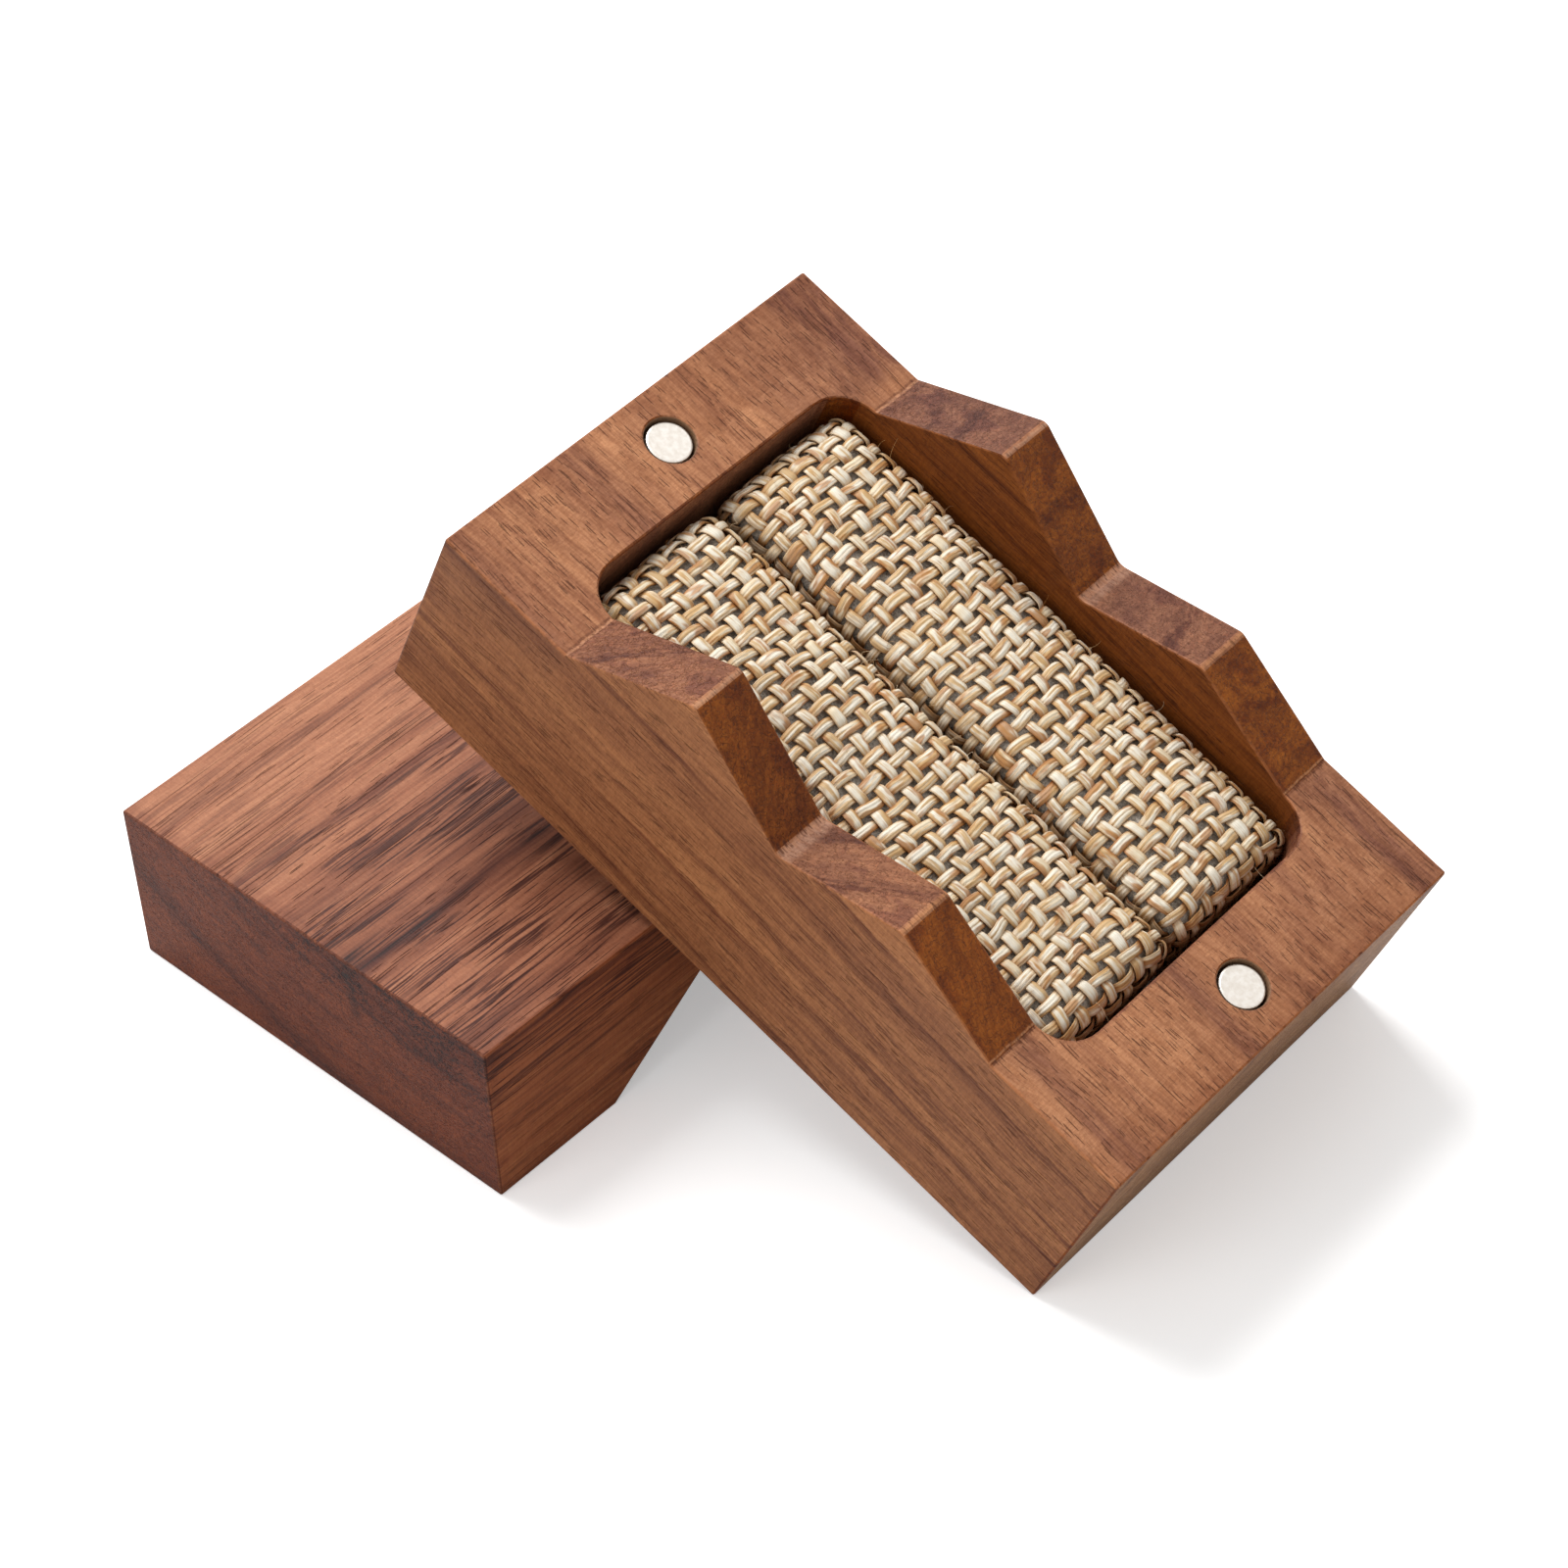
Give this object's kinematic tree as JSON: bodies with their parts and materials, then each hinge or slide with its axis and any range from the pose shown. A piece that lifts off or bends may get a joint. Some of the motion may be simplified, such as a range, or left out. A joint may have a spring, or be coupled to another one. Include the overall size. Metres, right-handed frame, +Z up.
{
  "type": "presentation box",
  "caption": "Open walnut presentation box in separate halves with zigzag mating edges, magnet closure and woven-fabric ring pads; the base leans on the lid.",
  "frame": {"origin": "centre of the open layout's footprint, on the surface that it stands on", "axes": "+Z up from that surface; +X square to the lid's length, the way the leaning base slopes down to its foot; +Y along the lid's length, from its tall-notch end to its low-notch end"},
  "size_m": [0.1149, 0.092, 0.0608],
  "materials": {
    "walnut": "oiled, satin",
    "nickel_plate": "satin plated",
    "grey_foam": "open foam",
    "woven_fabric": "coarse plain weave of flat straw-like yarn"
  },
  "bodies": {
    "lid": {"lid_half": "walnut", "lid_magnet_tall_end": "nickel_plate", "lid_magnet_low_end": "nickel_plate"},
    "base": {"base_half": "walnut", "base_magnet_tall_end": "nickel_plate", "base_magnet_low_end": "nickel_plate", "pad_core_near": "grey_foam", "pad_cover_near": "woven_fabric", "pad_core_far": "grey_foam", "pad_cover_far": "woven_fabric"}
  },
  "joints": [
    {"name": "base_lift", "type": "slide", "parent": "lid", "child": "base", "axis": [0, 0, 1], "range_m": [0, 0.06]}
  ]
}
